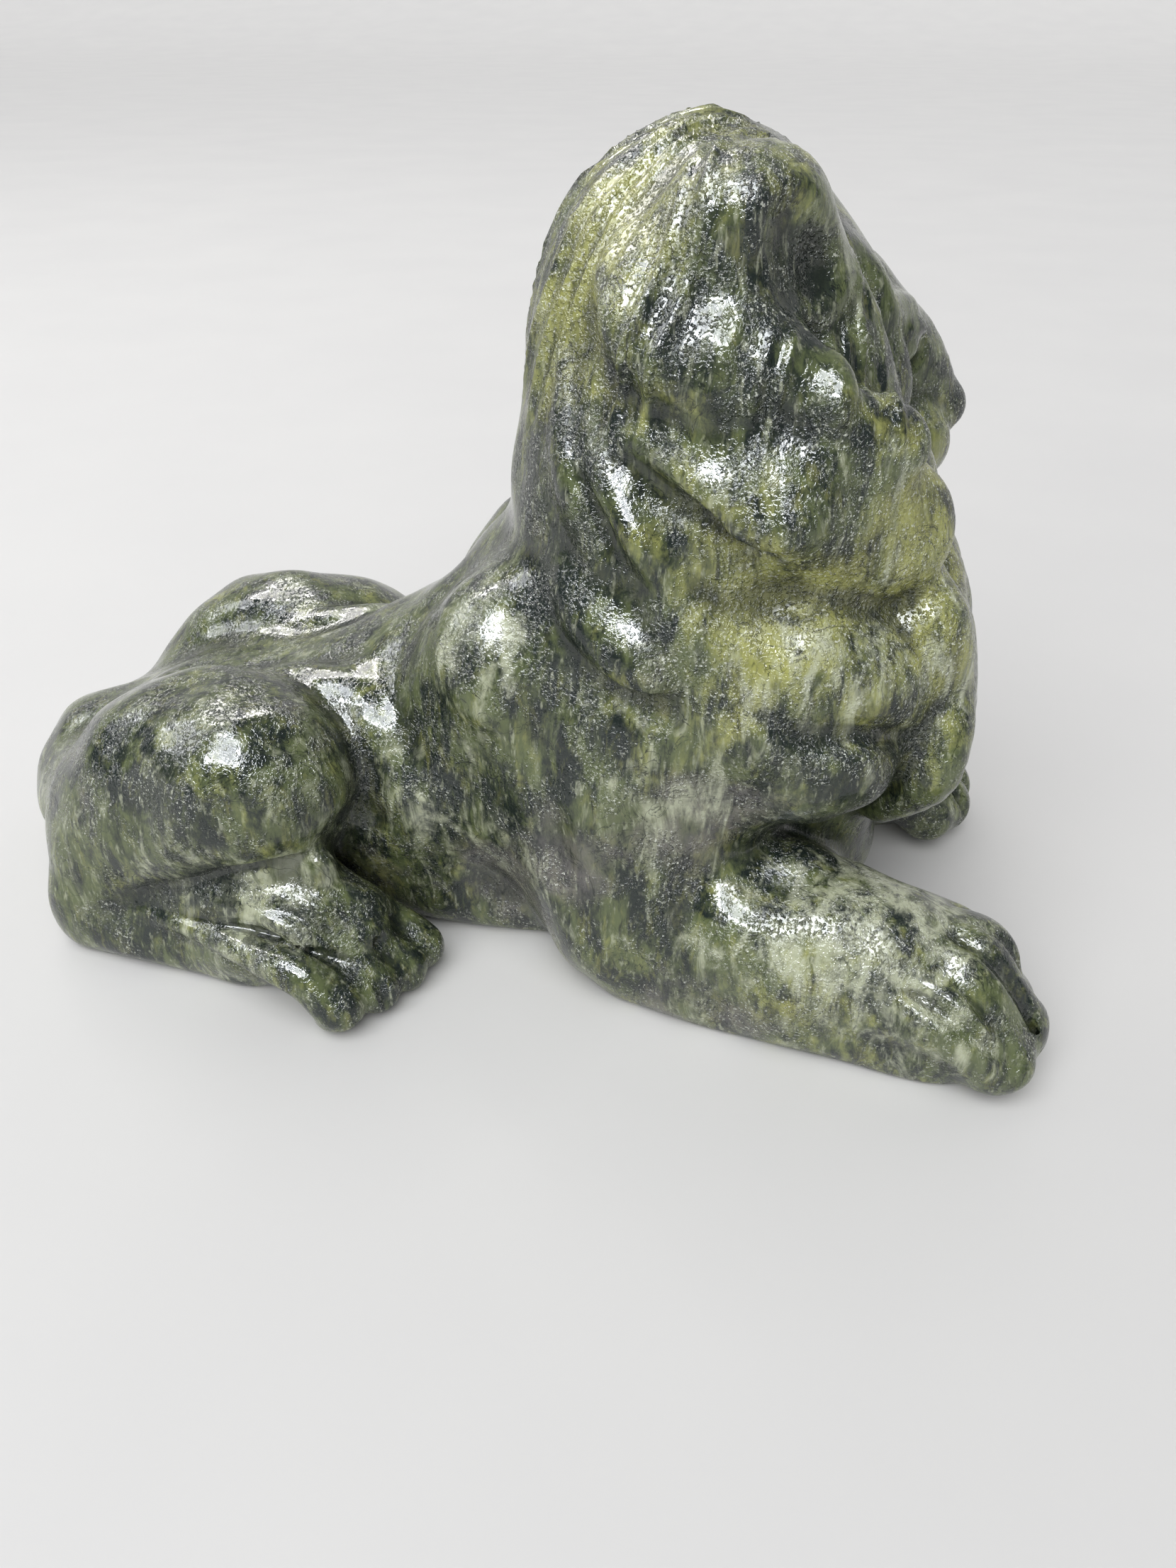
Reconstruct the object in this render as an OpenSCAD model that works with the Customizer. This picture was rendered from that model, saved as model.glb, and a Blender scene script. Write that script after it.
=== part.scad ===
// Reclining lion carved from one block of green jade.
// Millimetres. The lion faces +X, its right side is -Y and +Z is up. The origin is
// on the table, under the middle of the carving. The whole lion is one solid stone.

/* [Pose] */
// Turn of the head towards the lion's left, in degrees
head_yaw = 31; // [15:1:40]
// Dip of the nose below level, in degrees
head_dip = 28; // [15:1:35]
// Sideways place of the middle of each forepaw
paw_y = 28; // [24:0.5:29]
// Furthest forward reach of the right forepaw
paw_x = 79; // [72:0.5:82]
// How far the left forepaw lies behind the right one
paw_lag = 5; // [0:0.5:8]

/* [Body] */
// Radius of the rib cage
chest_r = 21; // [18:0.5:23]
// Radius of the waist
waist_r = 18.5; // [15:0.5:20]
// Furthest back reach of the tail's root
rump_x = -78.5; // [-82:0.5:-74]
// Height of the right knee above the table
knee_z = 30; // [26:0.5:32]
// How much lower the left knee lies
knee_drop = 3; // [0:0.5:5]

/* [Head and mane] */
// Height of the crown above the table
crown_z = 108; // [100:0.5:112]
// Radius of the mane across the neck
mane_r = 27; // [23:0.5:28]
// Radius of an ear
ear_r = 9.5; // [7:0.5:11]
// How far the locks stand out of the mane
lock_r = 4.5; // [3:0.25:6]

/* [Feet] */
// Radius of the front of a forepaw
paw_r = 10.5; // [9:0.25:12]
// Radius of a toe
toe_r = 4.8; // [4:0.1:5.5]
// Radius of the tail at its root
tail_r = 8; // [6:0.25:9]

/* [Hidden] */

SMOOTH = 20;                    // facets round a broad form
FINE = 12;                      // facets round a small one
SIDES = [-1, 1];                // right side, left side
JADE = [0.27, 0.36, 0.22];

head_at = [36, 7, crown_z - 20];
ear_out = 15.5;                 // an ear's distance from the middle plane of the head
ear_back = 12.5;                // its distance behind the head's centre
ear_up = 7.5;                   // and its height over it
ear_sag = 4.5;                  // the left ear is carved lower
toe_rows = [-8, -3, 2.5, 7];    // sideways places of the toes across a forepaw
hind_toes = [[-16, 36], [-12, 32], [-10, 27.5], [-9, 23]];

// An egg turned by yaw about Z after its nose is tipped up by pitch.
module egg(at, radii, yaw = 0, pitch = 0, facets = SMOOTH)
    translate(at) rotate([0, -pitch, yaw]) scale(radii) sphere(1, $fn = facets);

// A rounded limb that tapers from a to b.
module limb(a, b, ra, rb, facets = SMOOTH)
    hull() {
        translate(a) sphere(ra, $fn = facets);
        translate(b) sphere(rb, $fn = facets);
    }

// A chain of limbs through points that each carry [x, y, z, radius].
module chain(points, facets = FINE)
    for (i = [1 : len(points) - 1])
        limb(xyz(points[i - 1]), xyz(points[i]), points[i - 1][3], points[i][3], facets);

function xyz(p) = [p[0], p[1], p[2]];

module torso() {
    limb([22, 0, 26], [-12, 0, 23], chest_r, waist_r);
    limb([-12, 0, 23], [-44, 0, 20], waist_r, 15);
    limb([-12, 0, 29], [10, 0, 50], 15, 15);
    egg([4, 0, 6], [42, 15, 10]);
    egg([-40, 0, 7], [22, 24, 10]);
    egg([34, 0, 12], [22, 19, 15]);
    egg([rump_x + 23, 0, 14], [20, 18, 17]);
    for (s = SIDES)
        egg([8, s * 13, 36], [15, 11, 19]);
}

module hind_leg(s) {
    drop = s > 0 ? knee_drop : 0;
    limb([-52, s * 16, 18], [-29, s * 22, knee_z - 1 - drop], 12.5, 13);
    limb([-50, s * 18, 18], [-57, s * 22, 9], 10, 7.5);
    egg([-37, s * 17, 26], [22, 14, 17], -4 * s, 10);
    egg([-27, s * 24, knee_z - drop], [14, 11.5, 12.5], -4 * s, 16);
    hind_foot(s);
}

module hind_foot(s) {
    limb([-57, s * 22, 6], [-30, s * 27, 8], 7, 8.5, FINE);
    limb([-30, s * 27, 9], [-17, s * 29, 8], 9.5, 8.5, FINE);
    limb([-24, s * 25, 20], [-15, s * 27, 9], 6, 7.5, FINE);
    for (toe = hind_toes)
        limb([-24, s * (13.5 + toe[1] / 2), 9], [toe[0], s * toe[1], 4.5], 5, toe_r, FINE);
}

module foreleg(s) {
    lag = s > 0 ? paw_lag : 0;
    wrist = [paw_x - 33 - lag, s * (paw_y - 3.5), 12];
    paw = [paw_x - 15 - lag, s * paw_y, 11];
    egg([22, s * 17, 26], [17, 14, 27]);
    limb([22, s * 19, 10], wrist, 12, 12);
    limb(wrist, paw, 12, paw_r);
    for (y = toe_rows)
        limb(paw + [-3, s * 0.8 * y, -1], paw + [10 - 0.4 * abs(y), s * y, -5.5],
             6.5, toe_r + 0.4, FINE);
}

// The mane is a tall egg round the neck, a ruff over the chest and a cap behind the ears.
module mane() {
    egg([30, 0, 66], [mane_r, mane_r, 31], 0, -8);
    egg([41, 0, 44], [25.5, mane_r, 21]);
    egg([26, 0, crown_z - 21], [20, 19.5, 21]);
    for (s = SIDES)
        egg([42, s * 20, 42], [14, 11, 12]);
    for (s = SIDES)
        locks(s);
}

// Long locks lie down the side of the mane, each a chain of [x, y, z, radius].
module locks(s) {
    chain([for (p = [[19, 15, 92, 5], [26, 18, 87, 6], [34, 18, 81, 4]]) side(p, s)]);
    chain([for (p = [[23, 18, 82, 5], [31, 21, 77, 6], [39, 20, 73, 4]]) side(p, s)]);
    chain([for (p = [[13, 16, 76, 4], [18, 20, 70, 5], [21, 22, 65, 4]]) side(p, s)]);
    chain([for (p = [[15, 18, 61, 4], [21, 21, 56, 6], [28, 22, 50, 5]]) side(p, s)]);
    chain([for (p = [[38, 22, 58, 5], [49, 18, 55, 7], [60, 8, 50, 6]]) side(p, s)]);
    chain([for (p = [[38, 26, 43, 5], [46, 25, 40, 6], [54, 20, 38, 5]]) side(p, s)]);
}

// Moves a lock's point to side s and fattens or thins it with lock_r.
function side(p, s) = [p[0], s * p[1], p[2], p[3] + lock_r - 4.5];

// The head is built facing +X at the origin, then turned and dipped.
module head() {
    translate(head_at) rotate([0, head_dip, head_yaw]) {
        egg([-8, 0, -2], [14, 15, 15]);
        egg([3, 0, -4], [12, 12, 11]);
        limb([8, 0, -3], [25, 0, -4], 9, 7.5);
        egg([31, 0, -3], [3.5, 4.5, 4], facets = FINE);
        egg([21, 0, -14], [7.5, 6.5, 5.5], facets = FINE);
        for (s = SIDES) {
            egg([25, s * 4, -7], [7, 5.5, 6.5], facets = FINE);
            egg([12, s * 7, 3], [5.5, 4.5, 3.5], facets = FINE);
        }
    }
    for (s = SIDES)
        translate(head_at) rotate(head_yaw)
            egg([-ear_back, s * ear_out, ear_up - (s > 0 ? ear_sag : 0)],
                [ear_r, 0.75 * ear_r, ear_r]);
}

// The tail leaves the rump low down and lies forward along the left flank.
module tail() {
    chain([[-62, 0, 13, tail_r], [rump_x + 7.2, 4, 10, 7.2], [-70, 15, 7.5, 6.2],
           [-62, 25, 6.5, 5.6], [-50, 31, 6, 5.2], [-37, 35, 5.5, 4.6]]);
}

module carved_lion() {
    color(JADE)
        intersection() {
            union() {
                torso();
                for (s = SIDES) {
                    hind_leg(s);
                    foreleg(s);
                }
                mane();
                head();
                tail();
            }
            // The underside is ground flat to stand on the table.
            translate([-150, -150, 0]) cube(300);
        }
}

carved_lion();
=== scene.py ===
"""A reclining lion carved from one block of green jade, built round its CAD frame.

The lion is modelled like clay: rounded forms are blended into one solid, the solid's skin
becomes the mesh, and fine relief is pressed into it. Forms are placed in millimetres in
the frame's own axes: the lion faces +X, its right side is -Y, and the table is Z = 0.
"""

import bpy
import numpy as np
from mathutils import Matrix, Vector


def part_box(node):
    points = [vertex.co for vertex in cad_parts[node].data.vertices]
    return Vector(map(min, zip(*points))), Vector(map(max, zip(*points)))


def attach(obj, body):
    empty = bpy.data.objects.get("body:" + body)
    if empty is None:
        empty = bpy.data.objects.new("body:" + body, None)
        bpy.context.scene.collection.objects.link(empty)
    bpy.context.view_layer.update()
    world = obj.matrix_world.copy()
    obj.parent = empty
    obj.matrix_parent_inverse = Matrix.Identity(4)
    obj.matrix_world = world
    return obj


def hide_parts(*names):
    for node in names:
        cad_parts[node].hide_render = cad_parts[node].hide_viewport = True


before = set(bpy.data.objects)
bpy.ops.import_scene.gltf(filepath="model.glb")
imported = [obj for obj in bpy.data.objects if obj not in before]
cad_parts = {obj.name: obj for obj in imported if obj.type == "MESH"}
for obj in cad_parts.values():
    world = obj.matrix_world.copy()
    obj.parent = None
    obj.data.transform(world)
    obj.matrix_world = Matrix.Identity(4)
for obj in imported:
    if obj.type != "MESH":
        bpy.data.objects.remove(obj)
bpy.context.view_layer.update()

NODE = "carved_lion"
SIDES = (-1, 1)                     # the lion's right side, its left side
CAD_LOW, CAD_HIGH = (np.array(corner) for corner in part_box(NODE))
CLAY_LENGTH = 156.4                 # the clay model's length, rump to paws, in millimetres
MM = (CAD_HIGH[0] - CAD_LOW[0]) / CLAY_LENGTH


# ---------------------------------------------------------------- clay

CLAY_LOW = (-82, -44, -4)           # corners of the room that the clay fills
CLAY_HIGH = (82, 44, 112)
GRID_STEPS = ((4.0, 2.0, 1.0, 0.5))
FAR = 1000.0                        # a distance that means "nowhere near"
HALO = 3.0                          # how far past its own blend a form is still measured
NEAR_CELLS = 1.2                    # a finer grid is measured this many coarser cells
NEAR_MARGIN = 0.6                   # and this many millimetres from the surface
CURVE_STEPS = 5                     # straight pieces between two points of a rope
THINNEST = 0.05                     # the least radius of a rope


def turn(yaw=0.0, pitch=0.0, roll=0.0):
    """Axes turned by roll about X, then nose up by pitch, then by yaw about Z."""
    a, b, c = np.radians([yaw, pitch, roll])
    about_z = np.array([[np.cos(a), -np.sin(a), 0], [np.sin(a), np.cos(a), 0], [0, 0, 1]])
    about_y = np.array([[np.cos(b), 0, -np.sin(b)], [0, 1, 0], [np.sin(b), 0, np.cos(b)]])
    about_x = np.array([[1, 0, 0], [0, np.cos(c), -np.sin(c)], [0, np.sin(c), np.cos(c)]])
    return about_z @ about_y @ about_x


class Clay:
    """The distance from many points to one growing lump of clay, in millimetres."""

    def __init__(self, points, coarse):
        self.points = points.astype(np.float32)
        self.depth = np.full(len(points), FAR, np.float32)
        self.coarse = coarse

    def near(self, centre, size, soft, carve):
        """The points that a form of this size can change."""
        reach = size + soft + HALO
        if self.coarse and not carve:
            reach += FAR
        offset = self.points - np.asarray(centre, np.float32)
        return np.nonzero(np.einsum("ij,ij->i", offset, offset) < reach * reach)[0]

    def press(self, index, shape, soft, carve):
        """Blends a form into the clay, or out of it, with a fillet as wide as soft."""
        old = self.depth[index]
        if carve:
            mix = np.clip(0.5 - 0.5 * (shape + old) / soft, 0, 1)
            self.depth[index] = old * (1 - mix) - shape * mix + soft * mix * (1 - mix)
        else:
            mix = np.clip(0.5 + 0.5 * (old - shape) / soft, 0, 1)
            self.depth[index] = old * (1 - mix) + shape * mix - soft * mix * (1 - mix)

    def egg(self, centre, radii, axes=None, soft=2.0, carve=False):
        """An ellipsoid, turned to axes."""
        radii = np.asarray(radii, np.float32)
        index = self.near(centre, radii.max(), soft, carve)
        local = self.points[index] - np.asarray(centre, np.float32)
        if axes is not None:
            local = local @ axes.astype(np.float32)
        outer = np.sqrt(((local / radii) ** 2).sum(1)) + 1e-9
        slope = np.sqrt(((local / (radii * radii)) ** 2).sum(1)) + 1e-9
        self.press(index, outer * (outer - 1) / slope, soft, carve)

    def plate(self, centre, along, facing, radii, soft=2.0):
        """An egg whose first radius runs along one way and whose last one faces another."""
        up = np.array(facing) / np.linalg.norm(facing)
        ahead = np.array(along) - np.dot(along, up) * up
        ahead /= np.linalg.norm(ahead)
        self.egg(centre, radii, np.column_stack([ahead, np.cross(up, ahead), up]), soft)

    def rope(self, points, radii, soft=2.0, carve=False):
        """A tapered tube on a smooth curve through the points, blended in as one form."""
        path, width = smooth_path(np.asarray(points, float), np.asarray(radii, float))
        middle = (path.min(0) + path.max(0)) / 2
        size = np.linalg.norm(path - middle, axis=1).max() + width.max()
        index = self.near(middle, size, soft, carve)
        near_points = self.points[index]
        best = np.full(len(index), FAR, np.float32)
        for k in range(len(path) - 1):
            run = (path[k + 1] - path[k]).astype(np.float32)
            local = near_points - path[k].astype(np.float32)
            along = np.clip(local @ run / (run @ run + 1e-9), 0, 1)
            gap = np.linalg.norm(local - along[:, None] * run, axis=1)
            best = np.minimum(best, gap - (width[k] + (width[k + 1] - width[k]) * along))
        self.press(index, best.astype(np.float32), soft, carve)


def smooth_path(points, radii):
    """Points and radii along a Catmull-Rom curve; two points stay a straight line."""
    if len(points) == 2:
        return points, radii
    full = np.column_stack([points, radii])
    full = np.vstack([2 * full[0] - full[1], full, 2 * full[-1] - full[-2]])
    out = []
    for k in range(1, len(full) - 2):
        a, b, c, d = full[k - 1:k + 3]
        for t in np.arange(CURVE_STEPS) / CURVE_STEPS:
            square = (2 * a - 5 * b + 4 * c - d) * t ** 2
            cube = (3 * b - a - 3 * c + d) * t ** 3
            out.append(0.5 * (2 * b + (c - a) * t + square + cube))
    out.append(full[-2])
    out = np.array(out)
    return out[:, :3], np.maximum(out[:, 3], THINNEST)


def fill_grid(sculpt):
    """Measures the clay on ever finer grids, each only near the surface of the last."""
    low = np.array(CLAY_LOW, float)
    cells = np.ceil((np.array(CLAY_HIGH) - low) / GRID_STEPS[0]).astype(int)
    axes = [low[d] + GRID_STEPS[0] * np.arange(cells[d] + 1) for d in range(3)]
    points = np.stack(np.meshgrid(*axes, indexing="ij"), -1).reshape(-1, 3)
    value = sculpt(points, True).reshape(cells + 1)
    for coarser, step in zip(GRID_STEPS, GRID_STEPS[1:]):
        value = double(value)
        index = np.nonzero(np.abs(value) < coarser * NEAR_CELLS + NEAR_MARGIN)
        points = np.stack([low[d] + step * index[d] for d in range(3)], 1)
        value[index] = sculpt(points, False)
    return value


def double(value):
    """Twice as fine a grid, with the new values halfway between the old."""
    for axis in range(3):
        ends = np.moveaxis(value, axis, 0)
        finer = np.empty((2 * len(ends) - 1,) + ends.shape[1:], np.float32)
        finer[0::2] = ends
        finer[1::2] = (ends[:-1] + ends[1:]) / 2
        value = np.moveaxis(finer, 0, axis)
    return np.ascontiguousarray(value)


def skin(value):
    """Surface nets: one vertex in each cell that the surface crosses, joined by quads."""
    inside = value < 0
    size = np.array(value.shape)
    count = np.zeros(size - 1, np.uint8)
    corners = [(a, b, c) for a in (0, 1) for b in (0, 1) for c in (0, 1)]
    for a, b, c in corners:
        count += inside[a:size[0] - 1 + a, b:size[1] - 1 + b, c:size[2] - 1 + c]
    cell = np.nonzero((count > 0) & (count < 8))
    number = np.full(count.shape, -1, np.int32)
    number[cell] = np.arange(len(cell[0]))
    total = np.zeros((len(cell[0]), 3))
    hits = np.zeros(len(cell[0]))
    for start in corners:
        for axis in range(3):
            if start[axis] == 1:
                continue
            end = tuple(1 if d == axis else start[d] for d in range(3))
            first = value[tuple(cell[d] + start[d] for d in range(3))]
            second = value[tuple(cell[d] + end[d] for d in range(3))]
            cut = (first < 0) != (second < 0)
            at = np.where(cut, first / np.where(cut, first - second, 1), 0)
            for d in range(3):
                total[:, d] += cut * (start[d] + (at if d == axis else 0))
            hits += cut
    verts = (np.stack(cell, 1) + total / hits[:, None]) * GRID_STEPS[-1] + np.array(CLAY_LOW)
    quads = [edge_quads(inside, number, axis) for axis in range(3)]
    return verts, np.concatenate(quads)


def edge_quads(inside, number, axis):
    """The quad round each grid edge along axis that goes through the surface."""
    here = np.moveaxis(inside, axis, 0)
    grid = np.moveaxis(number, axis, 0)
    index = np.nonzero(here[:-1, 1:-1, 1:-1] != here[1:, 1:-1, 1:-1])
    i, j, k = index[0], index[1] + 1, index[2] + 1
    quad = np.stack([grid[i, j - 1, k - 1], grid[i, j, k - 1], grid[i, j, k], grid[i, j - 1, k]], 1)
    flip = ~here[i, j, k]
    if axis == 1:
        flip = ~flip
    quad[flip] = quad[flip][:, ::-1]
    return quad


def largest_shell(verts, quads):
    """The biggest connected part of the skin, without the crumbs that carving can leave."""
    label = np.arange(len(verts))
    settled = False
    while not settled:
        lowest = label[quads].min(1)
        joined = label.copy()
        for corner in range(4):
            np.minimum.at(joined, quads[:, corner], lowest)
        joined = joined[joined]
        settled = np.array_equal(joined, label)
        label = joined
    kept = label == np.argmax(np.bincount(label))
    number = np.cumsum(kept) - 1
    return verts[kept], number[quads[kept[quads[:, 0]]]]


def vertex_normals(verts, quads):
    """The surface's direction at each vertex, the larger quads counting for more."""
    first = verts[quads[:, 2]] - verts[quads[:, 0]]
    second = verts[quads[:, 3]] - verts[quads[:, 1]]
    flat = np.cross(first, second)
    normals = np.zeros_like(verts)
    for corner in range(4):
        for d in range(3):
            normals[:, d] += np.bincount(quads[:, corner], flat[:, d], len(verts))
    return normals / (np.linalg.norm(normals, axis=1, keepdims=True) + 1e-12)


def relax(verts, quads, rounds):
    """Each vertex drawn to the middle of its quads, as many times as rounds."""
    shares = np.bincount(quads.ravel(), minlength=len(verts))[:, None]
    for _ in range(rounds):
        middles = verts[quads].mean(1)
        total = np.zeros_like(verts)
        for corner in range(4):
            for d in range(3):
                total[:, d] += np.bincount(quads[:, corner], middles[:, d], len(verts))
        verts = total / shares
    return verts


# ---------------------------------------------------------------- anatomy

# The head turns to the lion's left and dips. Its own axes: X ahead, Y its left, Z up.
HEAD_AT = np.array([36.0, 7.0, 88.0])
HEAD_YAW = 31
HEAD_DIP = 28
NECK_AXES = turn(HEAD_YAW)
FACE_AXES = turn(HEAD_YAW, -HEAD_DIP)

# What sets the lion's left side, the far one, apart from its right side.
KNEE_DROP = 5                       # how much lower its knee lies
PAW_LAG = 3                         # how far its forepaw lies behind the other
PAW_OUT = {-1: 28, 1: 25.5}         # sideways place of each forepaw's middle
EAR_SAG = 6                         # how much lower its ear is carved


def on_neck(x, y, z):
    """A place given from the head's centre, turned but not dipped."""
    return HEAD_AT + NECK_AXES @ np.array([x, y, z])


def on_face(x, y, z):
    """A place given from the head's centre, turned and dipped with the face."""
    return HEAD_AT + FACE_AXES @ np.array([x, y, z])


def on_side(points, s):
    """Points listed for the lion's right side, on side s."""
    return [(x, -s * y, z) for x, y, z in points]


def torso(clay):
    """The rib cage, loins, withers, belly, brisket and rump, and a shoulder on each side."""
    clay.rope([(22, 0, 26), (-12, 0, 23)], [21, 18.5], 8)
    clay.rope([(-12, 0, 23), (-44, 0, 20)], [18.5, 15], 8)
    clay.rope([(-10, 0, 29), (8, 0, 48)], [13, 13], 9)
    clay.egg((4, 0, 5), (42, 16.5, 9), soft=8)
    clay.egg((-40, 0, 7), (22, 23, 10), soft=5)
    clay.egg((34, 0, 12), (22, 18, 14), soft=6)
    clay.egg((44, 0, 25), (13, 14, 14), soft=5)
    clay.egg((-56, 0, 13), (19.5, 18, 16), soft=6)
    for s in SIDES:
        clay.egg((8, 13 * s, 36), (14, 10, 18), soft=8)


def back_folds(clay, s):
    """The soft groove beside the spine, and the loose skin from back to flank."""
    groove = [(-19, -7, 44.5), (-32, -7.5, 42.5), (-46, -7.5, 38), (-57, -7, 32.5), (-65, -6.5, 27)]
    clay.rope(on_side(groove, s), [0.1, 1.0, 1.5, 1.0, 0.1], 4, True)
    fold = [(-33, -9, 37), (-24, -10, 39.5), (-15.5, -14, 36.5), (-10.5, -18, 30), (-8, -18, 21)]
    clay.rope(on_side(fold, s), [0.5, 2, 2.4, 2.2, 0.5], 3.5)


def hind_leg(clay, s):
    """The folded thigh and knee, the ridge along them, and the crease under them."""
    drop = KNEE_DROP if s > 0 else 0
    clay.rope([(-52, 16 * s, 18), (-32, 21.5 * s, 30 - drop)], [12, 12], 6)
    clay.egg((-38, 17 * s, 26), (20, 13, 16), turn(-4 * s, 10), 5)
    clay.egg((-29, 23.5 * s, 31 - drop), (13, 11, 12), turn(-4 * s, 16), 4)
    clay.rope([(-50, 18 * s, 18), (-57, 22 * s, 9)], [10, 7], 5)
    crease = [(-58, -26.5, 4), (-50, -30.5, 9.5), (-41, -34, 14.6), (-31, -36.5, 19.4),
              (-23, -36, 23), (-15, -31, 25.5)]
    clay.rope(on_side(crease, s), [0.6, 1.6, 2.0, 2.4, 2.6, 3], 1.0, True)
    if s < 0:                       # a crisp line; on the lower left knee it leaves burrs
        line = [(-57, -27.5, 5.5), (-52.5, -29, 8.5), (-46.5, -29, 11.5), (-39.5, -30, 15.5),
                (-32.5, -31, 19.5), (-26, -31.5, 22), (-20.5, -29, 22)]
        clay.rope(line, [0.3, 0.8, 1.1, 1.2, 1.3, 1.5, 1.2], 0.6, True)
    clay.egg((-14, 26 * s, 23.5), (4.2, 7, 5), soft=1.6, carve=True)
    ridge = [(-52, -25, 19), (-44, -28, 22.5), (-36, -30, 25.5)]
    clay.rope(on_side(ridge, s), [0.8, 2, 0.8], 3.5)


def hind_foot(clay, s):
    """The long hind foot: heel, flat top, one tendon to each toe, and the ankle's peak."""
    clay.rope([(-57, 22 * s, 4.5), (-32, 26 * s, 5.5)], [7, 7.5], 3)
    clay.rope([(-32, 26 * s, 7.5), (-18, 28 * s, 6)], [8, 6.5], 3)
    clay.rope([(-26, 25.5 * s, 17.5), (-17, 27 * s, 10)], [4.5, 6], 4)
    instep = [(-48, -24.5, 8.5), (-38, -26.5, 12.5), (-29, -28, 15), (-21, -27, 14)]
    clay.rope(on_side(instep, s), [3.5, 4.6, 5.2, 4.6], 2)
    roots = [(-50, -27, 9), (-34, -31, 15.5), (-27, -31, 17.5), (-20, -29, 17)]
    tips = [(-15.5, -37, 4.2), (-11, -32.8, 3.8), (-8.3, -28.2, 3.6), (-7.2, -23.5, 3.5)]
    for (rx, ry, rz), (x, y, r) in zip(roots, tips):
        route = [(rx, ry, rz), ((rx + x) / 2 - 1, (ry + y) / 2 - 1.2, (rz + 9.6) / 2 + 1.2),
                 (x - 6, y + 0.6, 8.6), (x - 1, y, r)]
        clay.rope(on_side(route, s), [0.9, 1.7, r - 1.0, r], 0.9)
    for toe, next_toe in zip(tips, tips[1:]):
        x = (toe[0] + next_toe[0]) / 2
        y = (toe[1] + next_toe[1]) / 2
        seam = [(x - 9, y + 0.4, 11.5), (x + 1, y, 8.5), (x + 4, y - 0.6, 3)]
        clay.rope(on_side(seam, s), [0.2, 0.8, 0.8], 0.9, True)
    clay.egg((-20, 27.5 * s, 20), (2.6, 2.2, 3), soft=1.6)


def foreleg(clay, s):
    """The shoulder, the forearm flat on the table, and the paw with four toes."""
    lag = PAW_LAG if s > 0 else 0
    out = PAW_OUT[s]
    clay.egg((22, 17 * s, 26), (16, 13, 26), soft=7)
    clay.rope([(22, 19 * s, 10), (46 - lag, (out - 3.5) * s, 12)], [11, 11.5], 5)
    sole = [(24, -5.5), (34, -3.2), (44, -1.2), (53, 0.6), (63, 3.2), (69, 4)]
    clay.rope([(x - lag, (out + y) * s, 4) for x, y in sole], [6, 7, 7, 7, 6.8, 5], 3)
    clay.rope([(46 - lag, (out - 3.5) * s, 11.5), (64 - lag, out * s, 10.7)], [11.5, 10.3], 4)
    for across, r, tip in [(-7.6, 5.0, 70.6), (-2.4, 5.4, 73), (3.1, 5.2, 72.4), (7.6, 4.4, 70)]:
        x = tip - lag
        y = s * (out - across)
        root = (x - 17, s * (out - 0.5 - across * 0.55), 12.2)
        clay.rope([root, (x - 6, y, 11.2), (x, y, 5.6)], [6, r + 0.4, r], 1.3)
    grooves = [
        [(55, 8.5, 17), (60, 10, 16), (65.5, 12.5, 13.5), (70.5, 12.5, 9.5), (73, 12, 5.5)],
        [(63.5, 8, 17.5), (67.5, 10, 15), (71, 11, 11.5), (73, 11.5, 7)],
        [(60, 1.5, 22), (64, 2.5, 20.5), (68.5, 4.5, 19), (73, 5, 13.5), (76.5, 5, 4.5)],
        [(66, -0.5, 20.5), (71, -0.5, 18.5), (74.5, 0, 12), (77.5, -0.5, 4.5)],
        [(64, -5, 20), (68.5, -6, 17.5), (73.5, -5.5, 12), (76.5, -6, 4.5)],
    ]
    for groove in grooves:
        points = [(x - lag, s * (out + y), z) for x, y, z in groove]
        clay.rope(points, [0.2] + [1.15] * (len(points) - 2) + [0.6], 0.8, True)
    valley = [(8, -27, 47), (10.5, -29.2, 38), (11.8, -29.8, 29), (13.6, -30, 20),
              (16.5, -31.5, 12)]
    clay.rope(on_side(valley, s), [0.3, 1.4, 1.7, 1.5, 0.4], 4, True)
    muscles(clay, s, lag)


def muscles(clay, s, lag):
    """Four low swellings of the forearm."""
    clay.egg((33 - lag * 0.5, 23 * s, 21), (6, 6, 5), soft=4)
    clay.egg((43 - lag, 22 * s, 21), (6, 5, 4.5), soft=3)
    clay.egg((38 - lag, 29 * s, 16), (7, 5.5, 6), soft=4)
    clay.egg((53 - lag, 27 * s, 17), (8, 7, 6), soft=5)


def tail(clay):
    """The tail lies forward along the left flank and ends in a tuft."""
    route = [(-62, 0, 13), (-71, 4, 10), (-70, 15, 7.5), (-62, 25, 6.5), (-50, 31, 6)]
    clay.rope(route, [8, 7.2, 6, 5, 4.2], 3)
    tuft = [(-52, 30.5, 6), (-44, 34, 6.5), (-35, 36.5, 5.5), (-29, 38, 3.5)]
    clay.rope(tuft, [3.5, 5, 4.4, 1.5], 1.5)


def mane(clay):
    """The mane round the neck, over the chest and behind the ears, and down the withers."""
    clay.egg((28.5, 0, 66), (25, 26, 30), turn(0, -6), 6)
    clay.egg((39, 0, 44), (24, 26, 20), soft=8)
    clay.egg((27.3, 0, 87), (20.3, 19, 20.6), soft=8)
    for s in SIDES:
        clay.egg((41, 20 * s, 42), (13.5, 9.5, 12), soft=6)
        clay.egg((21, 16.5 * s, 42), (16, 9.5, 19), soft=9)
        clay.egg((2.5, 14.5 * s, 47.5), (7.5, 7, 11), turn(0, -20), 7)
    # A flat at the neck's base that catches the light, on the right side alone.
    clay.plate((3.2, -19.8, 49.4), (0.3, -0.2, -0.9), (0.03, -0.75, 0.66), (8.5, 5.5, 2.2), 3.5)


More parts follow.
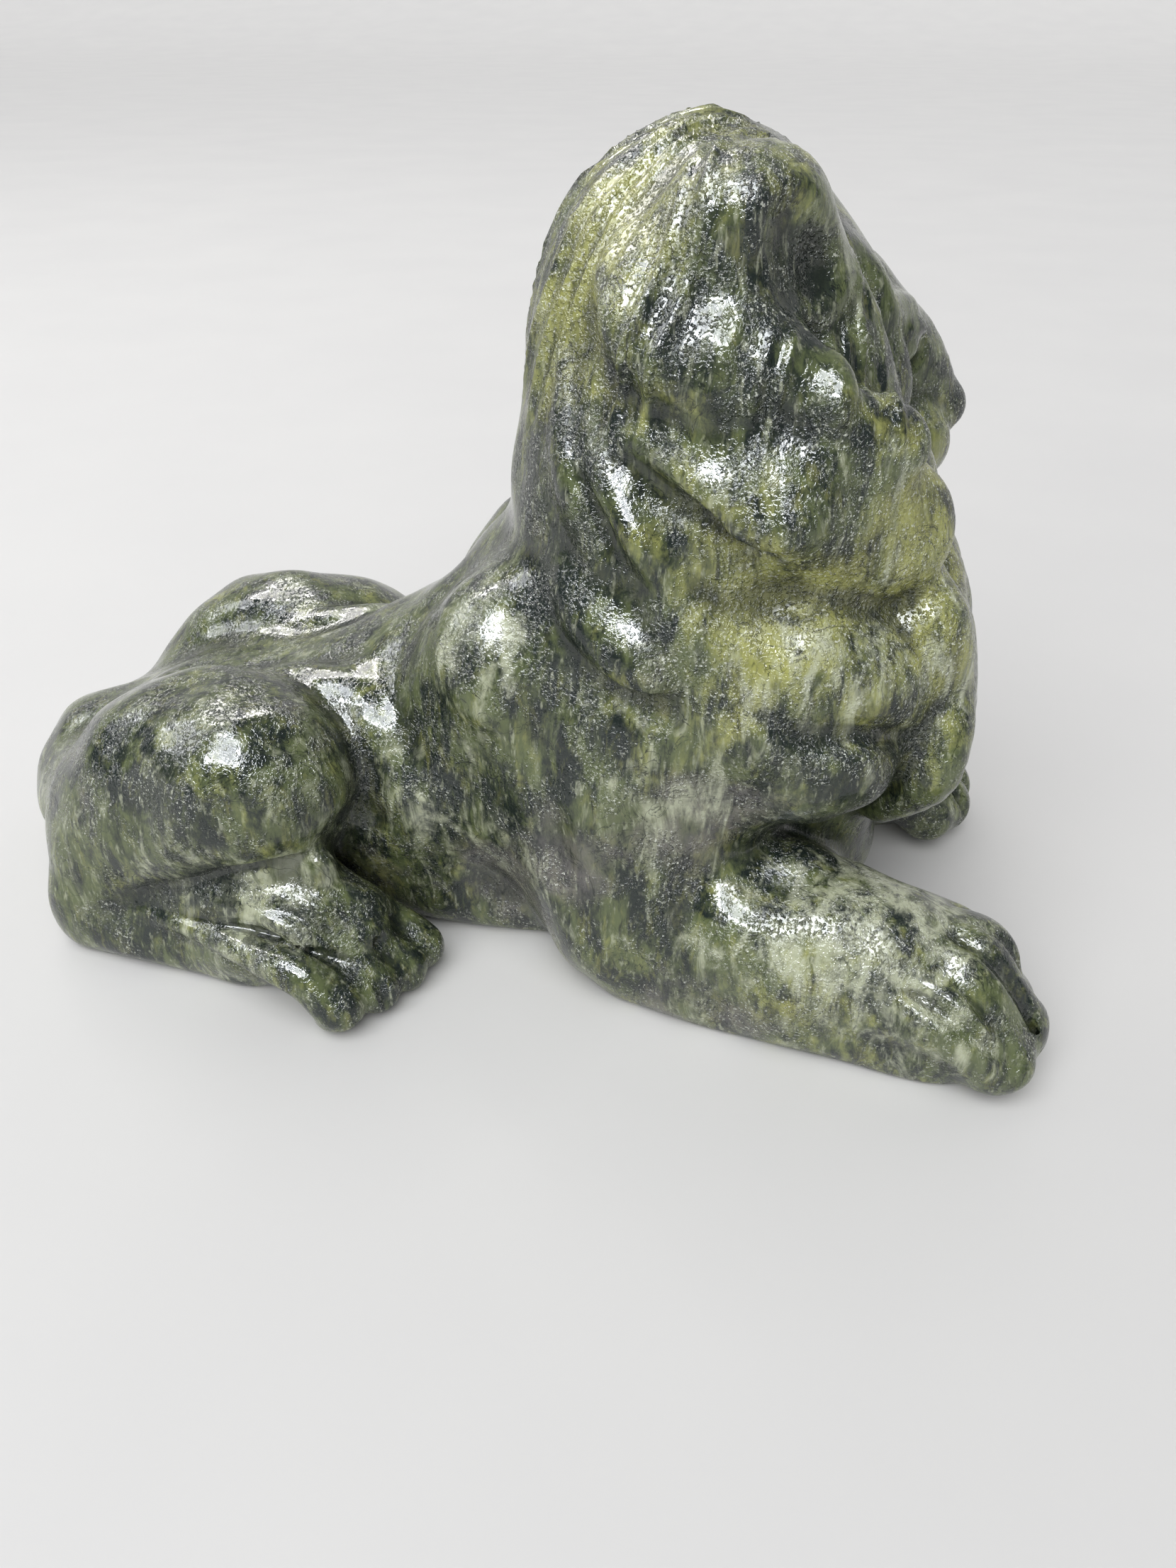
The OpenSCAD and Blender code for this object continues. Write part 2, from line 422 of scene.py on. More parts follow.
def locks(clay, s):
    """Soft S-shaped locks and rolls that lie down the side of the mane, with dips between."""
    # A roll's middle on the left side, the ways it runs and faces, its radii and fillet.
    rolls = [
        ((25.5, 18.6, 92.8), (0.6, 0.1, -0.7), (-0.05, 0.81, 0.59), (9.5, 8, 2.8), 2.4),
        ((25.8, 20.3, 89.6), (0.7, 0, -0.7), (-0.03, 0.79, 0.61), (10.5, 6.5, 2.4), 3.4),
        ((36, 20.9, 87.6), (0.72, 0, -0.69), (-0.03, 0.79, 0.61), (9.5, 4.2, 2.4), 3.6),
        ((29, 21.3, 83.2), (0.85, 0, -0.5), (0, 0.95, 0.3), (9, 3.5, 2.5), 3.5),
        ((30.5, 23.8, 77), (0.85, 0.1, -0.5), (-0.05, 0.79, 0.61), (13, 7.2, 2.8), 2.4),
        ((20, 24.6, 57.5), (0.65, 0.25, -0.72), (0, 0.78, 0.62), (9.5, 5, 2.6), 2.0),
        ((27, 25.0, 60.5), (0.5, 0, -0.85), (0, 0.9, 0.45), (5.5, 3, 2.6), 2.0),
        ((41, 22.6, 72), (0.9, -0.3, -0.3), (0.2, 0.9, 0.3), (7, 6, 4), 5.0),
        ((46, 20.5, 79.5), (0.8, -0.5, -0.3), (0.2, 0.9, 0.35), (7, 4.5, 3), 5.0),
        ((49.5, 17.4, 68.5), (0.8, -0.55, -0.3), (0.45, 0.85, 0.2), (9, 8, 3.9), 5.0),
        ((34, 24.6, 54), (0.9, 0, -0.4), (0, 0.95, 0.3), (9, 6, 4), 4.0),
        ((43.5, 23.2, 54.5), (0.7, -0.3, -0.6), (0.35, 0.93, 0.1), (6.5, 5.5, 3.4), 5.0),
        ((51, 20, 51), (0.4, -0.5, -0.75), (0.6, 0.75, 0.3), (6.5, 5, 4), 4.0),
        ((57.5, 12.5, 54), (0.3, -0.6, -0.75), (0.8, 0.58, 0.15), (6.5, 5.5, 4.4), 5.0),
        ((36.5, 26.4, 46.5), (0.6, 0, -0.8), (0.1, 0.9, 0.35), (7, 5, 3.6), 4.0),
        ((46.5, 25, 42), (0.5, -0.3, -0.8), (0.35, 0.85, 0.35), (6.5, 5, 3.8), 4.0),
    ]
    # Ropes and dips on the right side: their points and radii, and each dip's fillet.
    ropes = [
        ([(12.5, -15.3, 85), (13.2, -17.8, 77), (15.4, -20.8, 70.5), (18, -23, 65)],
         [0.8, 2.2, 2.4, 1.2]),
        ([(16.5, -19.6, 79), (18.8, -22.6, 73.5), (22.4, -24.8, 68.5), (26, -25.6, 64)],
         [1, 2.3, 2.6, 1.4]),
    ]
    dips = [
        ([(21, -24, 77), (28, -26.6, 72.4), (36, -27, 70)], [0.5, 1.6, 0.6], 2.2),
        ([(34, -28.6, 63), (40, -28, 60.5), (46, -25.6, 61.5), (53, -20, 60.5)],
         [0.3, 0.9, 0.9, 0.3], 3.4),
        ([(37, -30.5, 50.5), (43, -30, 47), (49, -27, 46.6), (55, -21.5, 43.5)],
         [0.3, 0.9, 1.1, 0.5], 3.0),
        ([(15.5, -22, 74), (19.4, -25.5, 67.5), (23, -27, 62.5)], [0.4, 1.0, 0.5], 1.6),
    ]
    mirror = np.array((1, s, 1))
    for middle, along, facing, radii, soft in rolls:
        clay.plate(middle * mirror, along * mirror, facing * mirror, radii, soft)
    for points, radii in ropes:
        clay.rope(on_side(points, s), radii, 1.8)
    for points, radii, soft in dips:
        clay.rope(on_side(points, s), radii, soft, True)


def ruff(clay, s):
    """The raised rim of the mane round the face, and the valley inside it."""
    rim = [(-8.5, 15, 9), (-7.5, 17.3, 5), (-3.4, 18, -2), (2.5, 18.8, -9.5), (8.6, 18, -17),
           (15, 12.5, -24), (18, 5, -28)]
    clay.rope([on_neck(x, s * y, z) for x, y, z in rim], [1.5, 2.4, 2.6, 2.8, 3, 3.2, 3.2], 2.2)
    valley = [(0, 14, 10), (3.5, 15.5, 3), (8, 16, -5), (12.5, 15, -13), (18, 10, -21)]
    clay.rope([on_neck(x, s * y, z) for x, y, z in valley], [2, 3, 3.4, 3.2, 2.5], 2, True)


def chest(clay):
    """Wavy locks that run down the front from the beard to the brisket."""
    for k, lead in enumerate((-15, -7.5, 0, 7.5, 15)):
        sway = 2.0 if k % 2 else -2.0
        bulge = 3.4 - abs(lead) * 0.12      # the middle locks stand out most
        points = [(50 + bulge, lead * 0.7 + 5, 66), (55 + bulge, lead + sway + 2, 56),
                  (57 + bulge, lead - sway, 46), (58 + bulge, lead + sway, 37),
                  (55, lead * 0.8, 27)]
        clay.rope(points, [2.5, 4.2, 4.8, 4.4, 2.5], 2.2)


def head(clay):
    """The skull, the muzzle and jaw, and the slope carved off the forehead."""
    def egg(at, radii, soft=2.0, carve=False):
        clay.egg(on_face(*at), radii, FACE_AXES, soft, carve)

    egg((-9, 0, -3), (12.5, 14.5, 14.5), 5)
    egg((2.5, 0, -4.5), (11.5, 12, 9.5), 4)
    egg((4.5, 0, 0.5), (9.5, 9.5, 7.5), 3)
    clay.egg((68, -6, 127.5), (40, 40, 40), soft=3, carve=True)
    clay.rope([on_face(8, 0, 2.6), on_face(19, 0, 0.2), on_face(28, 0, -2.8)], [6.6, 6.8, 5], 3)
    egg((18, 0, -7), (11, 8, 6), 3)
    for s in SIDES:
        egg((8, 9 * s, -6), (9, 6, 8), 3)
        eye(clay, s)
        egg((24.5, 4.2 * s, -8), (7.4, 5.4, 5.6), 1.6)
    egg((30, 0, -2), (3.8, 5, 3.6), 1.6)
    egg((20.5, 0, -15.5), (8, 6.2, 4.6), 2)
    mouth(clay)


def eye(clay, s):
    """A socket, the ball in it, its two lids and the brow."""
    clay.egg(on_face(14.5, 8 * s, 1.4), (4.6, 3.6, 3.2), FACE_AXES, 1.5, True)
    clay.egg(on_face(13.2, 7.2 * s, 1.2), (3.3, 3.1, 2.7), FACE_AXES, 0.6)
    upper = [(17.2, 4.6, 1.8), (15.8, 7.2, 4.0), (12.2, 10, 2.8)]
    clay.rope([on_face(x, s * y, z) for x, y, z in upper], [0.7, 1.0, 0.7], 0.7)
    lower = [(17.2, 4.6, 1.2), (15.8, 7.4, -1.2), (12.2, 10, 0.6)]
    clay.rope([on_face(x, s * y, z) for x, y, z in lower], [0.6, 0.9, 0.6], 0.7)
    brow = [(14.5, 2.5, 4.8), (13.2, 5.6, 4.9), (9.5, 8.8, 4.2), (5.5, 11.2, 2.4)]
    clay.rope([on_face(x, s * y, z) for x, y, z in brow], [1.2, 1.7, 1.7, 1.2], 2.2)


def mouth(clay):
    """The slit of the mouth, the nostrils and the groove under the nose."""
    slit = [(31, 0, -11.6), (28, 5, -12.6), (21.5, 9, -11.8), (16, 10.5, -9.5)]
    for s in SIDES:
        clay.rope([on_face(x, s * y, z) for x, y, z in slit], [0.7, 0.8, 0.8, 0.5], 0.8, True)
        clay.egg(on_face(33.2, 2.6 * s, -3.4), (1.3, 1.2, 1.0), FACE_AXES, 0.8, True)
    clay.rope([on_face(33.4, 0, -4.5), on_face(31.8, 0, -11)], [0.5, 0.5], 0.8, True)


def ear(clay, s):
    """A rounded ear laid back into the mane, its hollow facing forward and outward."""
    sag = EAR_SAG if s > 0 else 0

    def spot(x, y, z):
        return on_neck(x, s * y, z - sag)

    clay.egg(spot(-13.5, 14.6, 10), (9.5, 8, 8.5), turn(HEAD_YAW, -25), 3.5)
    clay.egg(spot(-14.5, 19.1, 13), (4.5, 3.5, 3.5), NECK_AXES, 3)
    clay.egg(spot(-12.6, 24.2, 10.2), (4.4, 3.4, 5.4), turn(HEAD_YAW, 15), 2, True)
    clay.egg(spot(-8.2, 22.6, 7.6), (3.2, 3.4, 4.4), turn(HEAD_YAW, 15), 2, True)
    rim = [(-15.2, 18.2, 17), (-11.6, 19, 14.6), (-8.6, 17.6, 11), (-6.6, 16.6, 7.5)]
    clay.rope([spot(*place) for place in rim], [0.7, 1.5, 1.5, 0.8], 1.4)
    under = [(-20, 15, 3), (-15, 20.5, 0), (-8, 22.5, 0.5), (-2, 20, 3.5)]
    clay.rope([spot(x, y, z + sag / 2) for x, y, z in under], [0.6, 1.4, 1.4, 0.8], 2.2, True)


def lion(points, coarse):
    """The distance from each point to the whole lion, cut flat at the table."""
    clay = Clay(points, coarse)
    torso(clay)
    mane(clay)
    for s in SIDES:
        foreleg(clay, s)
        hind_leg(clay, s)
        hind_foot(clay, s)
        locks(clay, s)
    chest(clay)
    for s in SIDES:
        back_folds(clay, s)
        ruff(clay, s)
    head(clay)
    for s in SIDES:
        ear(clay, s)
    tail(clay)
    return np.maximum(clay.depth, -clay.points[:, 2])


# ---------------------------------------------------------------- relief

PARTING = (36.0, 2.0)               # where the hair parts on the crown, seen from above
CROWN_STRANDS = 38                  # strands in a whole turn round the parting
CROWN_RELIEF = 1.0                  # how far a strand stands out
STRAND_LEVEL = 0.3                  # how much of that lies below the smooth surface
CROWN_START = (3, 9)                # from the parting, where strands start and are full
CROWN_FOOT = (74, 86)               # the same, by the height above the table
CROWN_FRONT = (3, -3)               # the same, ahead of the head's centre
EAR_CLEAR = (9, 12)                 # the same, from the middle of an ear
CHISEL_RELIEF = 0.20                # unevenness that the carver's tools left
CHISEL_WAVES = 24                   # waves that are added up to make it
CHISEL_LENGTHS = (8, 18)            # the shortest and the longest of them
CHISEL_SEED = 11
CHISEL_FOOT = (0.5, 3)              # heights between which it fades towards the table
HOLLOW_ROUNDS = 40                  # rounds of smoothing that show up the hollows


def ramp(value, low, high):
    """0 at low, 1 at high and smooth between; high may be the smaller."""
    t = np.clip((value - low) / (high - low), 0, 1)
    return t * t * (3 - 2 * t)


def strands(phase):
    """Narrow ridges of uneven width and height, about one to each unit of phase."""
    uneven = phase + 0.28 * np.sin(2.1 * phase + 0.6) + 0.1 * np.sin(5.3 * phase)
    height = 0.7 + 0.3 * np.sin(1.7 * uneven)
    return height * (1 - np.abs(np.sin(np.pi * uneven))) ** 1.2


def crown_hair(verts):
    """The combed hair that fans from the parting over the back of the head: phase, mask."""
    across = verts[:, 1] - PARTING[1]
    behind = PARTING[0] - verts[:, 0]
    phase = np.arctan2(across, behind) * CROWN_STRANDS / (2 * np.pi)
    phase += 0.4 * np.sin(verts[:, 2] / 7)
    from_head = (verts - HEAD_AT) @ NECK_AXES
    mask = ramp(np.hypot(across, behind), *CROWN_START) * ramp(verts[:, 2], *CROWN_FOOT)
    mask *= ramp(from_head[:, 0], *CROWN_FRONT)
    for s in SIDES:
        spot = on_neck(-12, 17 * s, 8)
        mask *= ramp(np.linalg.norm(verts - spot, axis=1), *EAR_CLEAR)
    return phase, mask


def chisel(verts):
    """Slow unevenness over the whole surface, from a sum of random waves."""
    rng = np.random.default_rng(CHISEL_SEED)
    total = np.zeros(len(verts))
    for _ in range(CHISEL_WAVES):
        axis = rng.normal(size=3)
        wave = axis / np.linalg.norm(axis) * 2 * np.pi / rng.uniform(*CHISEL_LENGTHS)
        total += np.sin(verts @ wave + rng.uniform(0, 2 * np.pi))
    return total * np.sqrt(2 / CHISEL_WAVES)


def carve_relief(verts, quads):
    """The vertices moved by the fine relief, with the strands' phase and strength."""
    phase, mask = crown_hair(verts)
    lift = CROWN_RELIEF * mask * (strands(phase) - STRAND_LEVEL)
    lift += CHISEL_RELIEF * chisel(verts) * ramp(verts[:, 2], *CHISEL_FOOT)
    return verts + vertex_normals(verts, quads) * lift[:, None], phase, mask


def hollows(verts, quads):
    """How deep each vertex lies in a hollow, as the way it moves when smoothed."""
    smooth = relax(verts, quads, HOLLOW_ROUNDS)
    return ((smooth - verts) * vertex_normals(smooth, quads)).sum(1)


# ---------------------------------------------------------------- colour zones

# Where the stone is sunny yellow-green, inky blue-green, misty pale or smoky grey: the middle of
# each zone, its radius and its strength. The inky zones along the mane's dips, the crease under the
# thigh, the lower flank and under the mane's lower edge are painted shade as well as dark stone.
ZONES = {
    "sunny": [((24, -10, 104), 13, 0.5), ((12, -13, 88), 10, 0.9), ((48, -18, 73), 10, 0.6),
              ((33, -24, 66), 8, 0.6), ((50, -16, 54), 12, 0.7), ((34, -26, 50), 9, 0.5),
              ((60, -8, 62), 12, 0.5), ((46, -34, 12), 12, 0.5), ((-30, -30, 36), 8, 0.3),
              ((44, -24, 62), 11, 0.6), ((56, -14, 46), 11, 0.5), ((20, -16, 96), 10, 0.5)],
    "inky_and_shade": [((38, -17, 96), 8, 1.0), ((28, -21, 86), 9, 0.8), ((40, -20, 80), 7, 0.9),
             ((13, -18, 66), 10, 0.9), ((10, -14, 76), 7, 0.6), ((16, -24, 54), 8, 0.5),
             ((48, -25, 37), 11, 1.0), ((6, -23, 32), 9, 0.6), ((-40, -26, 34), 12, 0.6),
             ((-52, -28, 8), 12, 0.5),
             ((-8, -20, 24), 10, 0.4), ((70, -30, 14), 7, 0.6), ((2, -16, 50), 9, 0.3),
             ((64, 12, 14), 12, 0.9), ((40, -26, 62), 5, 0.5), ((52, -20, 61), 5, 0.6),
             ((42, -29, 46), 5, 0.5), ((54, -22, 44), 5, 0.6), ((-30, -33, 16), 9, 0.6),
             ((-36, -31, 34), 7, 0.6), ((-14, -27, 22), 5, 1.0), ((-44, -30, 13), 4, 0.7),
             ((-34, -31, 18), 4, 0.7)],
    "misty": [((56, -12, 48), 10, 0.9), ((30, -27, 40), 9, 0.5), ((50, -28, 20), 12, 0.9),
              ((-4, -22, 24), 8, 0.8), ((58, -31, 15), 12, 0.9), ((-24, -32, 14), 9, 0.5),
              ((26, -20, 76), 7, 0.5), ((-30, -30, 22), 8, 0.4), ((12, -24, 18), 8, 0.5),
              ((46, -26, 53), 10, 0.7), ((4, -20, 52), 8, 0.7), ((-20, -20, 32), 9, 0.6),
              ((-34, -30, 13), 11, 0.7)],
    "smoky": [((12, -24, 22), 11, 0.8), ((26, -30, 30), 9, 0.6), ((36, -30, 6), 12, 0.6),
              ((0, -22, 10), 10, 0.8), ((-60, -20, 6), 12, 0.8), ((36, -26, 40), 8, 0.7)],
}


UNSEEN_SHARE = 0.7                  # the zones' strength on the left side, mirrored there


def zone_strength(verts, zones):
    """The zones' blended strength at each vertex, mirrored faintly to the unseen side."""
    total = np.zeros(len(verts))
    for centre, radius, strength in zones:
        for s, share in ((-1, 1.0), (1, UNSEEN_SHARE)):
            middle = np.array(centre) * (1, -s, 1)
            away = np.linalg.norm(verts - middle, axis=1) / radius
            total += strength * share * np.exp(-away * away)
    return np.clip(total, 0, 1)


# ---------------------------------------------------------------- mesh

def make_lion():
    """The whole carving as one mesh, fitted to its CAD node's box on every axis."""
    verts, quads = largest_shell(*skin(fill_grid(lion)))
    verts = relax(verts, quads, 1)
    verts, phase, combed = carve_relief(verts, quads)
    marks = {"strand": phase, "combed": combed, "hollow": hollows(verts, quads)}
    for name, zones in ZONES.items():
        marks[name] = zone_strength(verts, zones)
    low, high = verts.min(0), verts.max(0)
    verts = CAD_LOW + (verts - low) / (high - low) * (CAD_HIGH - CAD_LOW)
    mesh = bpy.data.meshes.new("jade_lion")
    mesh.from_pydata(verts.tolist(), [], quads.tolist())
    mesh.shade_smooth()
    for name, values in marks.items():
        spread = mesh.attributes.new(name, "FLOAT", "POINT")
        spread.data.foreach_set("value", values.astype(np.float32))
    made = bpy.data.objects.new("jade_lion", mesh)
    bpy.context.collection.objects.link(made)
    return made


# ---------------------------------------------------------------- materials

def paint(red, green, blue):
    """A colour given in screen steps of 0 to 255, as the linear light that shaders use."""
    steps = np.array([red, green, blue]) / 255
    return (*np.where(steps < 0.04045, steps / 12.92, ((steps + 0.055) / 1.055) ** 2.4), 1.0)


# The nearly black blue-green is dark stone, and through the inky zones also painted shade in dips,
# creases and under the mane.
DEEP_AND_SHADE = paint(28, 37, 33)            # blue-green, nearly black
LEAF = paint(92, 101, 66)           # olive
SUN = paint(172, 173, 100)
MIST = paint(186, 190, 164)
SMOKE = paint(112, 108, 106)
# The near-black vein colour is dark stone, and also painted shade in the hollows.
VEIN_AND_SHADE = paint(20, 27, 23)
# A painted glint: near-white specks that stand in for the polish's sparkle.
PAINTED_GLINT = paint(226, 229, 216)


class Web:
    """One material's nodes, added one at a time and plugged together."""

    def __init__(self, name):
        self.material = bpy.data.materials.new(name)
        self.material.use_nodes = True
        self.tree = self.material.node_tree
        self.shader = self.tree.nodes["Principled BSDF"]

    def node(self, kind, sockets, **settings):
        """A new node with its settings made and its sockets filled or linked."""
        made = self.tree.nodes.new("ShaderNode" + kind)
        for key, value in settings.items():
            setattr(made, key, value)
        for key, value in sockets.items():
            self.plug(made.inputs[key], value)
        return made

    def plug(self, socket, value):
        """Links another node's output to the socket, or gives it a plain value."""
        if isinstance(value, bpy.types.NodeSocket):
            self.tree.links.new(value, socket)
        else:
            socket.default_value = value

    def clay_mm(self, stretch=(1, 1, 1)):
        """The place on the object in millimetres, squeezed along each axis by stretch."""
        place = self.node("TexCoord", {}).outputs["Object"]
        scale = tuple(s / MM for s in stretch)
        return self.node("VectorMath", {0: place, 1: scale}, operation="MULTIPLY").outputs[0]

    def attribute(self, name):
        """One of the marks that make_lion left on the mesh."""
        return self.node("Attribute", {}, attribute_name=name).outputs["Fac"]

    def noise(self, place, grain, detail=3.0, rough=0.5, bend=0.0):
        """Cloudy noise whose lumps are about grain across."""
        sockets = {"Vector": place, "Scale": 1 / grain, "Detail": detail, "Roughness": rough,
                   "Distortion": bend}
        return self.node("TexNoise", sockets).outputs["Fac"]

    def math(self, a, b, operation="ADD"):
        """The two added, or put together by another operation."""
        return self.node("Math", {0: a, 1: b}, operation=operation).outputs[0]

    def step(self, value, low, high, top=1.0):
        """A smooth step from 0 at low to top at high."""
        sockets = {"Value": value, "From Min": low, "From Max": high, "To Max": top}
        return self.node("MapRange", sockets, interpolation_type="SMOOTHSTEP").outputs[0]

    def mix(self, factor, a, b):
        """The colour a where factor is 0, b where it is 1."""
        return self.node("Mix", {0: factor, 6: a, 7: b}, data_type="RGBA").outputs[2]

    def blend(self, a, b):
        """The mean of two values."""
        return self.math(self.math(a, b), 0.5, "MULTIPLY")

    def zone(self, noise, mark, pull, breaker, share):
        """Noise raised by pull where the mark is strong and broken up by a second noise."""
        marked = self.math(self.math(self.attribute(mark), pull, "MULTIPLY"), noise)
        swing = self.math(self.math(breaker, 0.5, "SUBTRACT"), share, "MULTIPLY")
        return self.math(marked, swing)

    def ridge(self, value, width):
        """1 where the value crosses a half, falling to 0 at width on either side."""
        away = self.math(value, 0.5, "SUBTRACT")
        away = self.node("Math", {0: away}, operation="ABSOLUTE").outputs[0]
        return self.step(away, width, 0.0)


def jade():
    """Mottled serpentine: streaks, sunny and misty clouds, dark veins and a sugary polish, with
    painted glints and painted shade in the hollows and inky dips.
    """
    web = Web("jade")
    flat = web.clay_mm()
    upright = web.clay_mm((1, 1, 0.3))
    colour = jade_colour(web, flat, upright)
    web.plug(web.shader.inputs["Base Color"], colour)
    rough = web.math(web.step(jade_grain(web, flat), 0.2, 1.0, 0.2), 0.08)
    web.plug(web.shader.inputs["Roughness"], rough)
    web.plug(web.shader.inputs["Normal"], jade_bump(web, flat, upright))
    web.shader.inputs["IOR"].default_value = 1.57
    web.shader.inputs["Subsurface Weight"].default_value = 0.12
    web.shader.inputs["Subsurface Radius"].default_value = (0.8, 1.0, 0.6)
    web.shader.inputs["Subsurface Scale"].default_value = 2.0 * MM
    return web.material


def jade_colour(web, flat, upright):
    """Colour zones, each broken up by the same upright streaks."""
    streaks = web.noise(upright, 2.2, 6, 0.68, 0.4)
    broad = web.noise(web.clay_mm((1, 1, 0.6)), 8, 5, 0.62, 0.8)
    colour = web.mix(web.step(web.blend(streaks, broad), 0.42, 0.57), DEEP_AND_SHADE, LEAF)
    olive = web.step(web.noise(upright, 1.7, 5, 0.66, 0.3), 0.52, 0.72, 0.3)
    colour = web.mix(olive, colour, SUN)
    patches = web.noise(flat, 10, 5, 0.6, 0.6)
    where = web.zone(patches, "sunny", 0.34, streaks, 0.85)
    colour = web.mix(web.step(where, 0.56, 0.96, 0.8), colour, SUN)
    where = web.zone(web.noise(flat, 12, 3, 0.5), "smoky", 0.34, streaks, 0.3)
    colour = web.mix(web.step(where, 0.62, 0.86, 0.75), colour, SMOKE)
    wisps = web.noise(upright, 3.4, 7, 0.66, 0.9)
    where = web.zone(wisps, "misty", 0.2, broad, 0.4)
    colour = web.mix(web.step(where, 0.56, 0.8, 0.85), colour, MIST)
    # Inky stone, and painted shade where the inky zones lie in the dips, creases and under the
    # mane.
    blots = web.noise(flat, 6, 6, 0.66, 1.0)
    where = web.zone(blots, "inky_and_shade", 0.28, streaks, -0.4)
    colour = web.mix(web.step(where, 0.56, 0.78, 0.85), colour, DEEP_AND_SHADE)
    return jade_veins(web, flat, upright, colour)


def jade_veins(web, flat, upright, colour):
    """Dark fibres, pale flecks, dark threads and cracks, painted glints on the sugary grains, and
    painted shade in deep hollows.
    """
    hanging = web.clay_mm((1, 1, 0.14))
    fibres = web.step(web.noise(hanging, 0.9, 3, 0.6, 0.7), 0.57, 0.7)
    where = web.step(web.noise(flat, 7, 3), 0.42, 0.62, 0.75)
    colour = web.mix(web.math(fibres, where, "MULTIPLY"), colour, VEIN_AND_SHADE)
    flecks = web.step(web.noise(upright, 0.8, 3, 0.6), 0.56, 0.74, 0.5)
    colour = web.mix(flecks, colour, MIST)
    threads = web.ridge(web.noise(flat, 5, 4, 0.6, 1.4), 0.016)
    where = web.step(web.noise(flat, 11, 2), 0.44, 0.58, 0.8)
    colour = web.mix(web.math(threads, where, "MULTIPLY"), colour, VEIN_AND_SHADE)
    cracks = web.ridge(web.noise(web.clay_mm((1, 1, 2.2)), 24, 4, 0.55, 0.8), 0.003)
    where = web.step(web.noise(flat, 17, 1), 0.5, 0.6, 0.85)
    colour = web.mix(web.math(cracks, where, "MULTIPLY"), colour, VEIN_AND_SHADE)
    # Painted glints: near-white specks over the sugary polish, in place of its sparkle.
    painted_glints = web.step(web.noise(flat, 0.4, 2, 0.6), 0.59, 0.67, 0.62)
    colour = web.mix(web.math(painted_glints, sugar(web, flat), "MULTIPLY"), colour, PAINTED_GLINT)
    # Painted shade: the deeper a vertex lies in a hollow, the nearer its colour comes to
    # near-black.
    shade = web.step(web.attribute("hollow"), 0.03, 0.34, 0.62)
    return web.mix(shade, colour, VEIN_AND_SHADE)


def jade_grain(web, flat):
    """0 where the polish is clean, 1 where it is sugary."""
    fine = web.noise(flat, 0.55, 3, 0.7)
    return web.math(fine, web.math(sugar(web, flat), 0.5), "MULTIPLY")


def sugar(web, flat):
    """1 in the clouds where the polish is sugary, most of all over the sunny stone; the painted
    glints lie there too.
    """
    raised = web.math(web.attribute("sunny"), 0.2, "MULTIPLY")
    return web.step(web.math(web.noise(flat, 6, 4, 0.65), raised), 0.44, 0.65)


def jade_bump(web, flat, upright):
    """Pits in the polish, faint upright scratches and the hair's finest strands."""
    pits = web.step(web.noise(flat, 0.42, 2, 0.6), 0.46, 0.7)
    height = web.math(pits, web.math(sugar(web, flat), 0.1), "MULTIPLY")
    strand = web.node("CombineXYZ", {0: web.attribute("strand")}).outputs[0]
    hair = web.math(web.noise(strand, 0.22, 1), web.attribute("combed"), "MULTIPLY")
    height = web.math(height, web.math(hair, 0.9, "MULTIPLY"))
    height = web.math(height, web.math(web.noise(upright, 1.1, 3, 0.6), 0.18, "MULTIPLY"))
    sockets = {"Height": height, "Distance": 0.17 * MM, "Strength": 1.0}
    return web.node("Bump", sockets).outputs["Normal"]


def paper():
    """The studio floor: pale, matt and very slightly uneven in tone."""
    web = Web("studio_paper")
    tone = web.noise(web.clay_mm(), 60, 3)
    colour = web.mix(tone, paint(204, 203, 202), paint(212, 211, 209))
    web.plug(web.shader.inputs["Base Color"], colour)
    web.shader.inputs["Roughness"].default_value = 0.75
    return web.material


# ---------------------------------------------------------------- studio

FLOOR_REACH = 20000 * MM            # to the floor's edges, and up its back wall
SWEEP_START = 2500 * MM             # where the floor starts to curve up, behind the lion
SWEEP_RADIUS = 3000 * MM
SWEEP_STEPS = 24
EYE = (33.8, -146.7, 118.2)         # the camera's place, in clay millimetres
EYE_TILT = (56, 0, 8)               # its turn about X, Y and Z, in degrees
LENS = 27.03                        # its focal length and sensor width, in millimetres
SENSOR = 36.0
WORLD_COLOUR = (0.86, 0.90, 1.0, 1.0)
WORLD_LIGHT = 0.21
FILL_LIGHT = 2.9                    # a broad light that leaves no highlight
FILL_ANGLE = 70                     # how broad it is, in degrees
FILL_TURN = (37, -10, 0)            # brings it from overhead towards the camera and rump
PANEL_AWAY = 1300                   # from the lion to each light, in clay millimetres
RIM_WIDTH = 70                      # the brighter strips along a panel's sides
RIM_SHARE = 0.74                    # how much of a panel's power the strips give
# Each panel: where it stands seen from the lion, its two sides, its power and colour.
PANELS = {
    "panel_behind": ((-0.45, 0.34, 0.83), (760, 560), 38, (1.0, 0.98, 0.95)),
    "panel_front": ((-0.16, -0.56, 0.80), (900, 620), 74, (0.92, 0.96, 1.0)),
    "panel_left": ((-0.84, -0.02, 0.54), (400, 300), 8, (0.95, 0.97, 1.0)),
}


def make_floor():
    """A level sheet that curves up far behind the lion, so no horizon shows."""
    turns = np.linspace(0, np.pi / 2, SWEEP_STEPS)
    profile = [(-FLOOR_REACH, 0.0)]
    profile += [(SWEEP_START + SWEEP_RADIUS * np.sin(t), SWEEP_RADIUS * (1 - np.cos(t)))
                for t in turns]
    profile.append((SWEEP_START + SWEEP_RADIUS, FLOOR_REACH))
    verts = [(x, y, CAD_LOW[2] + z) for y, z in profile for x in (-FLOOR_REACH, FLOOR_REACH)]
    faces = [(k, k + 1, k + 3, k + 2) for k in range(0, len(verts) - 2, 2)]
    mesh = bpy.data.meshes.new("studio_floor")
    mesh.from_pydata(verts, [], faces)
    mesh.shade_smooth()
    mesh.materials.append(paper())
    made = bpy.data.objects.new("studio_floor", mesh)
    bpy.context.collection.objects.link(made)


